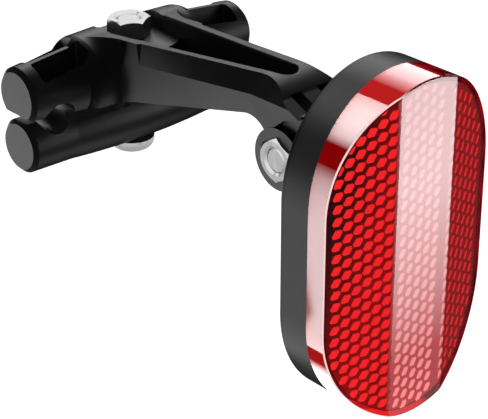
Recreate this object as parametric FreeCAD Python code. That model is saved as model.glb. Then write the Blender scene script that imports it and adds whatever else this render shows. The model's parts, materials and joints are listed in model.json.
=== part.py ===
"""Bicycle reflector on a saddle rail clamp, in millimetres, +Z up.

The origin is midway between the two saddle rails, on the clamp bolt's axis.
The bars of the clamp run along X and the reflector looks along -Y.
"""
import FreeCAD, Part
import math
import os
from FreeCAD import Vector

# Saddle rails and the gap between the two jaws
RAIL_R = 3.5
RAIL_SPACING = 45.0
GROOVE_CLEAR = 0.05
UPPER_JAW_FLAT = 0.9
LOWER_JAW_FLAT = -0.85

# Upper bar with its hub, turned about an axis along X
BAR_HALF_LENGTH = 29.1
BAR_CHAMFER = 0.9
UPPER_AXIS_Z = 4.7
UPPER_END_R = 6.1
UPPER_ROOT_R = 7.35
HUB_R = 9.3
HUB_EDGE_R = 8.8
HUB_PAST_FILLET = 0.45
HUB_CAP = 2.6
HUB_UNDERSIDE = 0.35

# Lightening pockets in the top of the upper bar
BAR_POCKET_FROM_HUB = 0.8
BAR_POCKET_OUT = 25.8
BAR_POCKET_WEB = 0.5
BAR_POCKET_SIDE = 5.2
BAR_POCKET_FLOOR = 2.2
BAR_POCKET_R = 0.9

# Lower bar
LOWER_AXIS_Z = -6.2
LOWER_END_R = 5.75
LOWER_MID_R = 6.6
LOWER_STRAIGHT = 11.0
LOWER_TAPER = 0.1
RELIEF_TOP = -2.6
SPOTFACE_R = 5.6
SPOTFACE_DEPTH = 0.5

# M5 hardware
BOLT_R = 2.5
RUN_CLEAR = 0.05
FREE_CLEAR = 0.25
HEX_FLATS = 8.0
HEX_CLEAR = 0.1
NUT_HEIGHT = 4.0
THIN_NUT_HEIGHT = 2.7
NUT_FACE_SHARE = 0.97
NUT_CHAMFER_DEG = 30.0
SHANK_CHAMFER = 0.4
SHANK_SHORT_OF_NUT = 0.4
PIN_SHORT_OF_NUT = 0.3
HEAD_R = 4.75
HEAD_HEIGHT = 2.75
HEAD_RIM = 0.5
HEAD_CROWN_MARGIN = 0.9
HEAD_BULGE_OUT = 0.55
HEAD_BULGE_DOWN = 0.35
SOCKET_FLATS = 3.0
SOCKET_DEPTH = 1.6
NUT_SEAT_Z = 10.6
NUT_WELL_WALL = 1.45
NUT_SHELF_R = 11.0

# Arm from the hub to the hinge
ARM_TOP_Z = 13.4
ARM_TOP_RISE = 0.093
ARM_BOTTOM_RISE = 0.257
ARM_HALF_WIDTH = 8.85
ARM_TIP_HALF_WIDTH = 8.0
ARM_TIP_TOP_HALF_WIDTH = 4.8
ARM_FILLET = 4.0
FACET_START_Y = -4.0
FACET_FLARE_X = 5.0
FACET_FLARE_START_Y = -8.2
FACET_FLARE_END_Y = -14.0
FACET_START_Z = 8.9
FACET_END_Z = 14.4
FLOOR_THICKNESS = 2.2
RAIL_WIDTH = 1.5
RAIL_TIP_WIDTH = 2.2
POCKET_EDGE_R = 0.6
POCKET_EDGE_START_Y = -3.0

# Hinge between the arm and the reflector; reaches are measured from its axis
HINGE_Y = -54.2
HINGE_Z = 3.45
ARM_TOP_REACH = 7.7
POCKET_REACH = 4.5
NOSE_REACH = 5.3
NOSE_RISE = 9.7
PRONG_REACH = 14.6
THROAT_R = 3.6
THROAT_BACK_SHARE = 0.62
THROAT_TOP_SHARE = 0.78
THROAT_RUN = 1.6
NECK_RISE = 2.0
BROW_R = 11.15
BROW_SWEEP_DEG = 44.0
EAR_R = 6.3
HINGE_HALF_WIDTH = 8.0
EAR_RECESS = 1.4
PRONG_X = 3.35
PRONG_T = 2.5
PRONG_CLEAR = 0.15
PRONG_STRIP_SHARE = 0.8
PRONG_FOOT_SHARE = 1.15
PRONG_FOOT = 2.0
PRONG_SINK = 0.3
SLOT_CLEAR = 0.5
TILT_UP_DEG = 57.0
NUT_RECESS = 1.9

# Reflector head: outline seen from the front, and depths along Y
HEAD_Z = -6.9
HEAD_HALF_W = 20.9
HEAD_HALF_H = 34.0
END_RISE = 22.8
HEAD_DEPTH = 15.5
COVER_T = 1.0
HOUSING_DEPTH = 6.2
WALL = 1.8
LIP = 0.9
LIP_DEPTH = 1.5
LIP_CLEAR = 0.1
MID_FACET_HALF_W = 7.03
FACET_FOLD_DEG = 16.1
LENS_T = 1.8
EDGE_R = 0.5

# Corner-cube cells on the back of the lens
CELL_FLATS = 2.45
CELL_GAP = 0.15
CELL_BORDER = 1.2
CELL_ROOT = 0.4
SIDE_COLUMNS = 6
MIDDLE_COLUMNS = 5

HUB_HALF_LENGTH = ARM_HALF_WIDTH + ARM_FILLET + HUB_PAST_FILLET
BAR_POCKET_IN = HUB_HALF_LENGTH + BAR_POCKET_FROM_HUB
NUT_WELL_R = ARM_HALF_WIDTH - NUT_WELL_WALL
ARM_TOP_END_Y = HINGE_Y + ARM_TOP_REACH
POCKET_END_Y = HINGE_Y + POCKET_REACH
NOSE_TIP_Y = HINGE_Y - NOSE_REACH
NOSE_TIP_Z = HINGE_Z + NOSE_RISE
HEAD_BACK_Y = HINGE_Y - PRONG_REACH
HEAD_FRONT_Y = HEAD_BACK_Y - HEAD_DEPTH
X_DIR = Vector(1, 0, 0)
Y_DIR = Vector(0, 1, 0)
Z_DIR = Vector(0, 0, 1)
BIG = 60.0


def save(name, shape):
    """Write one node, checked as a valid closed shape."""
    if not shape.isValid():
        raise ValueError(name + " is not a valid solid")
    shape.exportStep("parts/" + name + ".step")


def box(x, y, z):
    """A box between the two values given on each axis."""
    low = Vector(min(x), min(y), min(z))
    size = Vector(max(x), max(y), max(z)) - low
    return Part.makeBox(size.x, size.y, size.z, low)


def closed_face(points):
    """A flat face round a polygon."""
    return Part.Face(Part.makePolygon(points + points[:1]))


def side_solid(points, half_width):
    """A profile in the YZ plane, made equally thick to both sides of X = 0."""
    face = closed_face([Vector(-half_width, y, z) for y, z in points])
    return face.extrude(Vector(2 * half_width, 0, 0))


def closed_loop(edges):
    """A flat face inside a loop of lines and arcs given in any order."""
    return Part.Face(Part.Wire(Part.sortEdges(edges)[0]))


def hexagon(flats, height, turn_deg=0.0):
    """A hexagonal prism standing on the XY plane."""
    radius = flats / math.sqrt(3)
    angles = [math.radians(turn_deg + 60 * i) for i in range(6)]
    corners = [Vector(radius * math.cos(a), radius * math.sin(a), 0) for a in angles]
    return closed_face(corners).extrude(Vector(0, 0, height))


def hex_nut(height, turn_deg):
    """A nut standing on the XY plane, with both faces chamfered."""
    prism = hexagon(HEX_FLATS, height, turn_deg)
    face_r = HEX_FLATS / 2 * NUT_FACE_SHARE
    steep = math.tan(math.radians(NUT_CHAMFER_DEG))
    rim = HEX_FLATS / math.sqrt(3) - face_r
    slope = rim * steep
    low = Part.makeCone(face_r, face_r + BIG, BIG * steep)
    high = low.mirror(Vector(0, 0, height / 2), Z_DIR)
    bore = Part.makeCylinder(BOLT_R + RUN_CLEAR, height)
    mouth = Part.makeCone(BOLT_R + RUN_CLEAR + slope, BOLT_R + RUN_CLEAR, slope)
    top_mouth = mouth.mirror(Vector(0, 0, height / 2), Z_DIR)
    return prism.common(low).common(high).cut(bore).cut(mouth).cut(top_mouth)


def button_bolt(length):
    """A domed socket bolt: head below the XY plane, shank standing up from it."""
    shank = Part.makeCylinder(BOLT_R, length)
    tip = shank.Edges
    shank = shank.makeChamfer(SHANK_CHAMFER, [e for e in tip if e.BoundBox.ZMin > length - 0.01])
    crown_r = SOCKET_FLATS / math.sqrt(3) + HEAD_CROWN_MARGIN
    middle = Vector((HEAD_R + crown_r) / 2, 0, -(HEAD_HEIGHT + HEAD_RIM) / 2)
    bulge = middle + Vector(HEAD_BULGE_OUT, 0, -HEAD_BULGE_DOWN)
    start = Vector(HEAD_R, 0, -HEAD_RIM)
    end = Vector(crown_r, 0, -HEAD_HEIGHT)
    edges = [Part.makeLine(Vector(0, 0, 0), Vector(HEAD_R, 0, 0)),
             Part.makeLine(Vector(HEAD_R, 0, 0), start),
             Part.Arc(start, bulge, end).toShape(),
             Part.makeLine(end, Vector(0, 0, -HEAD_HEIGHT)),
             Part.makeLine(Vector(0, 0, -HEAD_HEIGHT), Vector(0, 0, 0))]
    head = Part.Face(Part.Wire(edges)).revolve(Vector(0, 0, 0), Z_DIR, 360)
    socket = hexagon(SOCKET_FLATS, SOCKET_DEPTH, 30)
    socket.translate(Vector(0, 0, -HEAD_HEIGHT))
    return head.fuse(shank).removeSplitter().cut(socket)


def along_x(shape, x, towards):
    """Lay a piece that stands along Z on the hinge axis, pointing along +X or -X."""
    shape.rotate(Vector(0, 0, 0), Y_DIR, 90 * towards)
    shape.translate(Vector(x, HINGE_Y, HINGE_Z))
    return shape


def hinge_cylinder(radius, x0, x1):
    """A cylinder on the hinge axis between two values of X."""
    return Part.makeCylinder(radius, x1 - x0, Vector(x0, HINGE_Y, HINGE_Z), X_DIR)


def rail_grooves():
    """The two saddle rails, as cutters that leave the named clearance."""
    radius = RAIL_R + GROOVE_CLEAR
    return [Part.makeCylinder(radius, BIG, Vector(side * RAIL_SPACING / 2, BIG / 2, 0), -Y_DIR)
            for side in (-1, 1)]


def upper_bar():
    """The hub with its two tapered bars, as one turned body with round shoulders."""
    chamfer_x = BAR_HALF_LENGTH - BAR_CHAMFER
    cap_x = HUB_HALF_LENGTH + HUB_CAP
    drop = HUB_EDGE_R - UPPER_ROOT_R
    outer = [(-BAR_HALF_LENGTH, 0), (-BAR_HALF_LENGTH, UPPER_END_R - BAR_CHAMFER),
             (-chamfer_x, UPPER_END_R), (-cap_x, UPPER_ROOT_R)]
    shoulder = [(-cap_x, UPPER_ROOT_R), (-HUB_HALF_LENGTH - HUB_CAP * 0.45, UPPER_ROOT_R + drop * 0.72),
                (-HUB_HALF_LENGTH, HUB_EDGE_R)]
    edges = []
    for side in (1, -1):
        points = [Vector(side * x, 0, r) for x, r in outer]
        bend = [Vector(side * x, 0, r) for x, r in shoulder]
        edges += [Part.makeLine(p, q) for p, q in zip(points[:-1], points[1:])]
        edges += [Part.Arc(*bend).toShape(), Part.makeLine(bend[2], Vector(0, 0, HUB_R))]
    edges.append(Part.makeLine(Vector(-BAR_HALF_LENGTH, 0, 0), Vector(BAR_HALF_LENGTH, 0, 0)))
    bar = closed_loop(edges).revolve(Vector(0, 0, 0), X_DIR, 360)
    bar.translate(Vector(0, 0, UPPER_AXIS_Z))
    return bar


def arm_top_z(y):
    return ARM_TOP_Z - ARM_TOP_RISE * y


def arm_bottom_z(y):
    return HUB_UNDERSIDE - ARM_BOTTOM_RISE * (y + HUB_R * 0.75)


def arm_side(y):
    """Half-width of the arm's upright walls."""
    share = y / ARM_TOP_END_Y
    return ARM_HALF_WIDTH + (ARM_TIP_HALF_WIDTH - ARM_HALF_WIDTH) * share


def arm_body():
    """The arm as a solid beam with its nose over the hinge, before it is hollowed."""
    top_end = arm_top_z(ARM_TOP_END_Y)
    throat_y = HINGE_Y + EAR_R * THROAT_BACK_SHARE
    throat_z = HINGE_Z + EAR_R * THROAT_TOP_SHARE
    bend_y = throat_y + THROAT_R + THROAT_RUN
    start = (bend_y, arm_bottom_z(bend_y))
    middle = (throat_y + THROAT_R * 0.42, arm_bottom_z(bend_y) - THROAT_R * 0.16)
    lean = math.degrees(math.atan(ARM_TOP_RISE))
    centre = (ARM_TOP_END_Y - BROW_R * math.sin(math.radians(lean)),
              top_end - BROW_R * math.cos(math.radians(lean)))
    turns = [math.radians(-lean + BROW_SWEEP_DEG * share) for share in (0, 0.5, 1)]
    brow = [(centre[0] - BROW_R * math.sin(a), centre[1] + BROW_R * math.cos(a)) for a in turns]
    belly = [(NOSE_TIP_Y, NOSE_TIP_Z), (HINGE_Y - 1.4, HINGE_Z + EAR_R + 2.1),
             (HINGE_Y + 2.0, HINGE_Z + EAR_R * 0.9), (throat_y, throat_z)]
    hub = [start, (-HUB_R * 0.75, HUB_UNDERSIDE), (0, HUB_UNDERSIDE), (0, ARM_TOP_Z), brow[0]]
    chains = [[Vector(-2 * ARM_HALF_WIDTH, y, z) for y, z in chain]
              for chain in ([brow[2]] + belly, hub, brow, [belly[-1], middle, start])]
    edges = [Part.makeLine(p, q) for chain in chains[:2] for p, q in zip(chain[:-1], chain[1:])]
    edges += [Part.Arc(*chain).toShape() for chain in chains[2:]]
    beam = closed_loop(edges).extrude(Vector(4 * ARM_HALF_WIDTH, 0, 0))
    far_y = -BIG - 10
    plan = [Vector(arm_side(0), 0, -BIG / 2), Vector(arm_side(far_y), far_y, -BIG / 2),
            Vector(-arm_side(far_y), far_y, -BIG / 2), Vector(-arm_side(0), 0, -BIG / 2)]
    return beam.common(closed_face(plan).extrude(Vector(0, 0, BIG * 1.5)))


def upper_facets():
    """Two twisted wedges that lean the arm's upper side faces inwards towards the nose."""
    def section(side, y, flare=0.0):
        share = (y - FACET_START_Y) / (ARM_TOP_END_Y - FACET_START_Y)
        root_x = arm_side(y) + flare + 0.02
        crease_z = FACET_START_Z + (FACET_END_Z - FACET_START_Z) * min(share, 1.0)
        top_x = ARM_HALF_WIDTH + (ARM_TIP_TOP_HALF_WIDTH - ARM_HALF_WIDTH) * share
        rise = arm_top_z(y) - crease_z
        lean = (top_x + flare - root_x) / rise
        over = rise + 3.0
        points = [Vector(side * root_x, y, crease_z),
                  Vector(side * (root_x + lean * over), y, crease_z + over),
                  Vector(side * 2 * ARM_HALF_WIDTH, y, crease_z + over),
                  Vector(side * 2 * ARM_HALF_WIDTH, y, crease_z)]
        return Part.makePolygon(points + points[:1])
    wedges = []
    for side in (-1, 1):
        root = [section(side, FACET_FLARE_START_Y, FACET_FLARE_X), section(side, FACET_FLARE_END_Y)]
        wedges.append(Part.makeLoft(root, True, True))
        stations = [section(side, y) for y in (FACET_FLARE_END_Y, ARM_TOP_END_Y)]
        wedges.append(Part.makeLoft(stations, True, True))
        stations = [section(side, y) for y in (ARM_TOP_END_Y, -BIG - 5)]
        wedges.append(Part.makeLoft(stations, True, True))
    return wedges


def pocket_plan():
    """The long pocket between the arm's two rails, as a tall prism with a round end."""
    start_x = ARM_HALF_WIDTH - RAIL_WIDTH
    taper = (start_x - (ARM_TIP_TOP_HALF_WIDTH - RAIL_TIP_WIDTH)) / -ARM_TOP_END_Y
    lean = math.atan(taper)
    radius = (start_x + taper * POCKET_END_Y) * math.cos(lean) / (1 - math.sin(lean))
    touch_x = radius * math.cos(lean)
    touch_y = POCKET_END_Y + radius * (1 - math.sin(lean))
    low = -BIG / 2
    corners = [Vector(start_x, 0, low), Vector(touch_x, touch_y, low),
               Vector(-touch_x, touch_y, low), Vector(-start_x, 0, low)]
    edges = [Part.makeLine(corners[0], corners[1]),
             Part.Arc(corners[1], Vector(0, POCKET_END_Y, low), corners[2]).toShape(),
             Part.makeLine(corners[2], corners[3]),
             Part.makeLine(corners[3], corners[0])]
    return closed_loop(edges).extrude(Vector(0, 0, BIG * 1.5))


def arm_hollow(beam):
    """The pocket over its sloping floor, with a round edge where it opens in the arm's top."""
    floor = [(y, arm_bottom_z(y) + FLOOR_THICKNESS) for y in (2.0, -BIG)]
    above = side_solid(floor + [(-BIG, BIG), (2.0, BIG)], 2 * ARM_HALF_WIDTH)
    plain = pocket_plan().common(above)
    rails = beam.cut(plain)
    rails = rails.makeFillet(POCKET_EDGE_R, [e for e in rails.Edges if rims_pocket(e)])
    rounded = beam.cut(rails).common(box((-BIG, BIG), (-BIG, POCKET_EDGE_START_Y), (-BIG, BIG)))
    shelf = Part.makeCylinder(NUT_SHELF_R, BIG, Vector(0, 0, NUT_SEAT_Z - BIG))
    return [plain.cut(shelf), rounded.cut(shelf)]


def rims_pocket(edge):
    """True for the edges that run round the pocket's mouth on top of the arm."""
    b = edge.BoundBox
    wall_x = ARM_HALF_WIDTH - RAIL_WIDTH
    taper = (wall_x - (ARM_TIP_TOP_HALF_WIDTH - RAIL_TIP_WIDTH)) / -ARM_TOP_END_Y
    inside = max(abs(b.XMin), abs(b.XMax)) < wall_x + taper * b.YMax + 0.2
    return inside and b.YLength > 0.1 and b.ZMin > ARM_TOP_Z - 0.1


def bar_pockets():
    """Four rounded pockets, two in the top of each bar with a web between them."""
    cutters = []
    for side in (-1, 1):
        for front in (-1, 1):
            x = (side * BAR_POCKET_IN, side * BAR_POCKET_OUT)
            y = (front * BAR_POCKET_WEB, front * BAR_POCKET_SIDE)
            block = box(x, y, (UPPER_AXIS_Z + BAR_POCKET_FLOOR - 1.6, BIG))
            upright = [e for e in block.Edges if abs(e.tangentAt(e.FirstParameter).z) > 0.9]
            cutters.append(block.makeFillet(BAR_POCKET_R, upright))
    return cutters


def hinge_profile(radius):
    """The side view of one arm prong: a round ear that runs up into the nose."""
    ear = hinge_cylinder(radius, -BIG, BIG)
    neck = [(HINGE_Y + EAR_R * 0.75, HINGE_Z), (HINGE_Y + EAR_R * 0.75, HINGE_Z + EAR_R + NECK_RISE),
            (NOSE_TIP_Y, NOSE_TIP_Z + 0.5), (NOSE_TIP_Y, HINGE_Z + EAR_R * 0.4),
            (HINGE_Y - EAR_R * 0.4, HINGE_Z)]
    return ear, side_solid(neck, BIG)


def prong_slots():
    """The two slots that the head's prongs turn in, open forwards up to the tilt limit."""
    reach = EAR_R + SLOT_CLEAR
    tilt = math.radians(TILT_UP_DEG)
    back = (HINGE_Y + reach * math.sin(tilt), HINGE_Z + reach * math.cos(tilt))
    roof = (back[0] - 20 * math.cos(tilt), back[1] + 20 * math.sin(tilt))
    open_front = [(HINGE_Y, HINGE_Z), back, roof, (-BIG - 25, roof[1]), (-BIG - 25, -BIG / 2),
                  (HINGE_Y, -BIG / 2)]
    slots = []
    for side in (-1, 1):
        half = PRONG_T / 2 + PRONG_CLEAR
        x = (side * PRONG_X - half, side * PRONG_X + half)
        band = box(x, (-BIG - 25, -BIG / 2), (-BIG / 2, BIG))
        slots.append(side_solid(open_front, BIG).common(band))
        slots.append(hinge_cylinder(reach, x[0], x[1]))
    return slots


def arm():
    """Hub, upper jaw and arm: one moulding."""
    beam = arm_body()
    body = upper_bar().fuse(beam).removeSplitter()
    corners = [e for e in body.Edges if joins_hub(e)]
    body = body.makeFillet(ARM_FILLET, corners)
    outer = HINGE_HALF_WIDTH
    ear, neck = hinge_profile(EAR_R)
    boss = ear.common(box((-outer, outer), (-BIG - 25, 0), (-BIG, BIG)))
    web_x = outer - EAR_RECESS
    web = neck.common(box((-web_x, web_x), (-BIG - 25, 0), (-BIG, BIG)))
    body = body.cut(upper_facets()).fuse([boss, web]).removeSplitter()
    below = box((-BIG, BIG), (-HUB_R * 1.5, BIG), (-BIG, HUB_UNDERSIDE))
    jaw_x = RAIL_SPACING / 2 - RAIL_R
    jaws = [box((side * jaw_x, side * BIG), (-BIG, BIG), (-BIG, UPPER_JAW_FLAT)) for side in (-1, 1)]
    well = Part.makeCylinder(NUT_WELL_R, BIG, Vector(0, 0, NUT_SEAT_Z))
    walk = pocket_plan().common(box((-BIG, BIG), (-NUT_SHELF_R, 0), (NUT_SEAT_Z, BIG)))
    bolt_hole = Part.makeCylinder(BOLT_R + RUN_CLEAR, 2 * BIG, Vector(0, 0, -BIG))
    pin_hole = hinge_cylinder(BOLT_R + RUN_CLEAR, -BIG, BIG)
    recess = along_x(hexagon(HEX_FLATS + 2 * HEX_CLEAR, BIG), -(outer - NUT_RECESS), -1)
    cutters = jaws + arm_hollow(beam) + [below, well, walk, bolt_hole, pin_hole, recess]
    cutters += rail_grooves() + bar_pockets() + prong_slots()
    return body.cut(cutters)


def joins_hub(edge):
    """True for the upright edges where a side wall of the arm meets the hub."""
    b = edge.BoundBox
    near_wall = abs(abs(b.Center.x) - arm_side(b.Center.y)) < 0.2 and b.XLength < 0.6
    on_hub = -HUB_R - 0.5 < b.Center.y < -0.5 and b.ZLength > 1.0
    return near_wall and on_hub


def lower_jaw():
    """The loose jaw: a barrel-shaped bar with its upper side cut flat and two rail grooves."""
    chamfer_x = BAR_HALF_LENGTH - BAR_CHAMFER
    straight_x = BAR_HALF_LENGTH - LOWER_STRAIGHT
    ends = [Vector(-chamfer_x, 0, LOWER_END_R), Vector(-straight_x, 0, LOWER_END_R + LOWER_TAPER)]
    belly = [ends[1], Vector(0, 0, LOWER_MID_R), Vector(straight_x, 0, LOWER_END_R + LOWER_TAPER)]
    tip = [Vector(-BAR_HALF_LENGTH, 0, 0), Vector(-BAR_HALF_LENGTH, 0, LOWER_END_R - BAR_CHAMFER)]
    flip = FreeCAD.Matrix(-1, 0, 0, 0, 0, 1, 0, 0, 0, 0, 1, 0, 0, 0, 0, 1)
    left = [tip[0], tip[1], ends[0], ends[1]]
    right = [flip.multVec(p) for p in left]
    edges = [Part.makeLine(a, b) for a, b in zip(left[:-1], left[1:])]
    edges.append(Part.Arc(*belly).toShape())
    edges += [Part.makeLine(a, b) for a, b in zip(right[::-1][:-1], right[::-1][1:])]
    edges.append(Part.makeLine(right[0], left[0]))
    jaw = closed_loop(edges).revolve(Vector(0, 0, 0), X_DIR, 360)
    jaw.translate(Vector(0, 0, LOWER_AXIS_Z))
    jaw_x = RAIL_SPACING / 2 - RAIL_R
    top = box((-BIG, BIG), (-BIG, BIG), (LOWER_JAW_FLAT, BIG))
    relief = box((-jaw_x, jaw_x), (-BIG, BIG), (RELIEF_TOP, BIG))
    hole = Part.makeCylinder(BOLT_R + FREE_CLEAR, 2 * BIG, Vector(0, 0, -BIG))
    seat = Part.makeCylinder(SPOTFACE_R, BIG, Vector(0, 0, bolt_seat_z() - BIG))
    return jaw.cut([top, relief, hole, seat] + rail_grooves())


def bolt_seat_z():
    return LOWER_AXIS_Z - LOWER_MID_R + SPOTFACE_DEPTH


def clamp_bolt():
    bolt = button_bolt(NUT_SEAT_Z + NUT_HEIGHT - SHANK_SHORT_OF_NUT - bolt_seat_z())
    bolt.translate(Vector(0, 0, bolt_seat_z()))
    return bolt


def clamp_nut():
    nut = hex_nut(NUT_HEIGHT, 30)
    nut.translate(Vector(0, 0, NUT_SEAT_Z))
    return nut


def hinge_bolt():
    length = 2 * HINGE_HALF_WIDTH - NUT_RECESS + THIN_NUT_HEIGHT - PIN_SHORT_OF_NUT
    return along_x(button_bolt(length), HINGE_HALF_WIDTH, -1)


def hinge_nut():
    return along_x(hex_nut(THIN_NUT_HEIGHT, 0), -(HINGE_HALF_WIDTH - NUT_RECESS), -1)


def ellipse_arc(centre, rx, rz, top):
    """Half an ellipse in an XZ plane, over the top or under the bottom of its centre."""
    tall = rz >= rx
    major = Vector(0, 0, rz) if tall else Vector(rx, 0, 0)
    minor = Vector(-rx, 0, 0) if tall else Vector(0, 0, rz)
    curve = Part.Ellipse(centre + major, centre + minor, centre)
    start = -math.pi / 2 if tall else 0
    if not top:
        start += math.pi
    return Part.Arc(curve, start, start + math.pi).toShape()


def outline(inset, y):
    """The head's outline as a face: straight sides and half-elliptic ends."""
    half_w = HEAD_HALF_W - inset
    straight = HEAD_HALF_H - END_RISE
    rise = END_RISE - inset
    top = Vector(0, y, HEAD_Z + straight)
    bottom = Vector(0, y, HEAD_Z - straight)
    edges = [Part.makeLine(bottom + Vector(half_w, 0, 0), top + Vector(half_w, 0, 0)),
             ellipse_arc(top, half_w, rise, True),
             Part.makeLine(top - Vector(half_w, 0, 0), bottom - Vector(half_w, 0, 0)),
             ellipse_arc(bottom, half_w, rise, False)]
    return Part.Face(Part.Wire(edges))


def slab(inset, y_back, y_front):
    """The head's outline between two depths, the front one at the lower Y."""
    return outline(inset, y_back).extrude(Vector(0, y_front - y_back, 0))


def behind_facets(setback):
    """The space behind the lens's three flat facets, moved back along Y."""
    slope = math.tan(math.radians(FACET_FOLD_DEG))
    reach = HEAD_HALF_W + 5
    front = HEAD_FRONT_Y + setback
    side = front + slope * (reach - MID_FACET_HALF_W)
    plan = [(-reach, HEAD_BACK_Y), (-reach, side), (-MID_FACET_HALF_W, front),
            (MID_FACET_HALF_W, front), (reach, side), (reach, HEAD_BACK_Y)]
    low = HEAD_Z - HEAD_HALF_H - 5
    face = closed_face([Vector(x, y, low) for x, y in plan])
    return face.extrude(Vector(0, 0, 2 * (HEAD_HALF_H + 5)))


def cell(size):
    """One corner cube: a hexagonal post along +Y that ends in three square faces."""
    radius = size / math.sqrt(3)
    rise = size / math.sqrt(6)
    corners = [Vector(radius * math.cos(math.radians(60 * i)), 0, radius * math.sin(math.radians(60 * i)))
               for i in range(6)]
    low = [p - Vector(0, CELL_ROOT, 0) for p in corners]
    high = [p + Vector(0, rise if i % 2 else 0, 0) for i, p in enumerate(corners)]
    apex = Vector(0, 2 * rise, 0)
    faces = [closed_face([apex, high[i - 1], high[i], high[i + 1]]) for i in (0, 2, 4)]
    for i in range(6):
        j = (i + 1) % 6
        faces.append(closed_face([low[i], low[j], high[j], high[i]]))
    faces.append(closed_face(low))
    return Part.makeSolid(Part.makeShell(faces))


def cell_places():
    """The cells on the three facets, each as a turn about Z and a point."""
    column = CELL_FLATS * math.sqrt(3) / 2
    fold = math.radians(FACET_FOLD_DEG)
    side_width = (HEAD_HALF_W - WALL - MID_FACET_HALF_W) / math.cos(fold)
    rows = int(HEAD_HALF_H / CELL_FLATS) + 1
    facets = [(-1, side_width, SIDE_COLUMNS), (0, 0, MIDDLE_COLUMNS), (1, side_width, SIDE_COLUMNS)]
    for side, width, count in facets:
        turn = side * fold
        middle = side * (MID_FACET_HALF_W + width / 2 * math.cos(fold))
        for i in range(count):
            x = middle + (i - (count - 1) / 2) * column * math.cos(turn)
            for row in range(-rows, rows + 1):
                z = (row + (0.5 if i % 2 else 0)) * CELL_FLATS
                depth = abs(side) * (abs(x) - MID_FACET_HALF_W) * math.tan(fold)
                if inside_outline(x, z, WALL + CELL_BORDER):
                    yield math.degrees(turn), Vector(x, HEAD_FRONT_Y + LENS_T + depth, HEAD_Z + z)


def inside_outline(x, z, inset):
    """True where a point of the head's front lies further in than the inset."""
    straight = HEAD_HALF_H - END_RISE
    over = max(abs(z) - straight, 0) / (END_RISE - inset)
    return (x / (HEAD_HALF_W - inset)) ** 2 + over ** 2 < 1


def lens():
    """The red lens: three facets, a side wall, a lip for the housing and the cells behind."""
    back = HEAD_BACK_Y - COVER_T - HOUSING_DEPTH
    shell = slab(0, back, HEAD_FRONT_Y - 5).common(behind_facets(0))
    rim = [e for e in shell.Edges if e.BoundBox.YMax < back - 1 and e.BoundBox.ZLength > 5]
    shell = shell.makeFillet(EDGE_R, [e for e in rim if not is_fold(e)])
    hollow = slab(WALL, back, HEAD_FRONT_Y - 5).common(behind_facets(LENS_T))
    lip = slab(LIP + LIP_CLEAR, back + LIP_DEPTH, back - 0.5)
    lip = lip.cut(slab(WALL, back + LIP_DEPTH + 1, back - 1))
    master = cell(CELL_FLATS - CELL_GAP)
    cells = []
    for turn, place in cell_places():
        one = master.copy()
        one.rotate(Vector(0, 0, 0), Z_DIR, turn)
        one.translate(place)
        cells.append(one)
    return shell.cut(hollow).fuse(lip).removeSplitter().fuse(cells)


def is_fold(edge):
    """True for the two straight edges where the facets meet."""
    b = edge.BoundBox
    return b.XLength < 0.01 and abs(abs(b.XMax) - MID_FACET_HALF_W) < 0.01


def housing():
    """The black ring between the back cover and the lens, with a rebate for the lens's lip."""
    back = HEAD_BACK_Y - COVER_T
    front = back - HOUSING_DEPTH
    ring = slab(0, back, front).cut(slab(WALL, back + 1, front - 1))
    return ring.cut(slab(LIP, front + LIP_DEPTH + LIP_CLEAR, front - 1))


def back_cover():
    """The back plate with its spigot and the two prongs of the hinge."""
    front = HEAD_BACK_Y - COVER_T
    plate = slab(0, HEAD_BACK_Y, front)
    rear = [e for e in plate.Edges if e.BoundBox.YMin > HEAD_BACK_Y - 0.01]
    plate = plate.makeFillet(EDGE_R, rear)
    spigot = slab(WALL + LIP_CLEAR, front + 0.2, front - LIP_DEPTH)
    spigot = spigot.cut(slab(2 * WALL, front + 1, front - LIP_DEPTH - 1))
    prongs = []
    strip_h = EAR_R * PRONG_STRIP_SHARE
    foot_h = EAR_R * PRONG_FOOT_SHARE
    foot_y = HEAD_BACK_Y + PRONG_FOOT
    sunk_y = HEAD_BACK_Y - PRONG_SINK
    for side in (-1, 1):
        x0 = side * PRONG_X - PRONG_T / 2
        x1 = side * PRONG_X + PRONG_T / 2
        strip = [(HINGE_Y, HINGE_Z - EAR_R), (HINGE_Y, HINGE_Z + EAR_R), (HINGE_Y - EAR_R, HINGE_Z + strip_h),
                 (foot_y, HINGE_Z + strip_h), (sunk_y, HINGE_Z + foot_h),
                 (sunk_y, HINGE_Z - foot_h), (foot_y, HINGE_Z - strip_h),
                 (HINGE_Y - EAR_R, HINGE_Z - strip_h)]
        band = box((x0, x1), (-BIG - 25, 0), (-BIG, BIG))
        prongs += [hinge_cylinder(EAR_R, x0, x1), side_solid(strip, BIG).common(band)]
    body = plate.fuse([spigot] + prongs).removeSplitter()
    return body.cut(hinge_cylinder(BOLT_R + RUN_CLEAR, -BIG, BIG))


NODES = {"arm": arm, "lower_jaw": lower_jaw, "clamp_bolt": clamp_bolt, "clamp_nut": clamp_nut,
         "hinge_bolt": hinge_bolt, "hinge_nut": hinge_nut, "back_cover": back_cover,
         "housing": housing, "lens": lens}


def main():
    os.makedirs("parts", exist_ok=True)
    for name, make in NODES.items():
        shape = make()
        save(name, shape)
        print(name, "solids", len(shape.Solids), "volume", round(shape.Volume, 1))


main()
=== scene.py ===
import json
import math

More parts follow.
